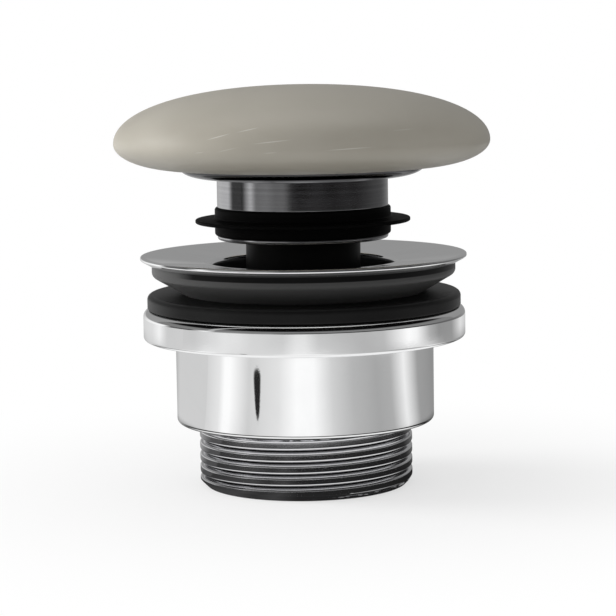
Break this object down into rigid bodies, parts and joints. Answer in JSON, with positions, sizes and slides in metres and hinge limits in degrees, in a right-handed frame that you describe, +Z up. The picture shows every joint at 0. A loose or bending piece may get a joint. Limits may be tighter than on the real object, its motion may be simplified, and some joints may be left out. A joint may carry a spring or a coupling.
{
  "type": "sprung plug basin waste",
  "caption": "Push-open basin waste with a glazed pebble cap on a sprung sealing plug, saucer flange, rubber washers and a chromed body with a threaded tail.",
  "frame": {"origin": "centre of the tail's end face, on the axis of the waste", "axes": "+Z up along the axis, from the tail to the cap; X and Y across it, with the camera's side at -Y"},
  "size_m": [0.0732, 0.0732, 0.0783],
  "materials": {
    "cap_glaze": "satin warm grey glaze",
    "bright_chrome": "polished chrome plate on brass",
    "plug_steel": "fine turned metal",
    "black_rubber": "black moulded rubber",
    "grey_rubber": "dark grey moulded rubber",
    "black_plastic": "black moulded plastic",
    "white_plastic": "natural white moulded plastic",
    "screw_steel": "bright stainless steel"
  },
  "bodies": {
    "lower_body": {"waste_body": "bright_chrome"},
    "gasket": {"under_gasket": "black_rubber"},
    "waste_top": {"waste_flange": "bright_chrome", "cone_washer": "grey_rubber", "cartridge_sleeve": "black_plastic", "cartridge_bush": "black_plastic", "fixing_screw": "screw_steel", "return_spring": "screw_steel"},
    "plug": {"plug_body": "plug_steel", "plug_seal": "black_rubber", "plunger": "white_plastic", "cap_plate": "bright_chrome", "cap_screw": "screw_steel", "ceramic_cap": "cap_glaze"},
    "index": {"index_ring": "white_plastic", "index_pins": "screw_steel"}
  },
  "joints": [
    {"name": "clamp_turn", "type": "hinge", "parent": "lower_body", "child": "gasket", "pos_m": [0, 0, 0.035], "axis": [0, 0, 1], "range_deg": [0, 1440]},
    {"name": "clamp_travel", "type": "slide", "parent": "gasket", "child": "waste_top", "axis": [0, 0, 1], "range_m": [0, 0.00924]},
    {"name": "plug_slide", "type": "slide", "parent": "waste_top", "child": "plug", "axis": [0, 0, 1], "range_m": [-0.0074, 0], "stiffness_N_per_m": 600, "springref_m": 0.012, "deforming": ["return_spring"]},
    {"name": "index_turn", "type": "hinge", "parent": "waste_top", "child": "index", "pos_m": [0, 0, 0.042], "axis": [0, 0, 1], "range_deg": [0, 37.85]}
  ],
  "couplings": [
    {"joint": "clamp_travel", "follows": "clamp_turn", "m_per_rad": 0.00036749},
    {"joint": "index_turn", "follows": "plug_slide", "rad_per_m": -89.25}
  ]
}
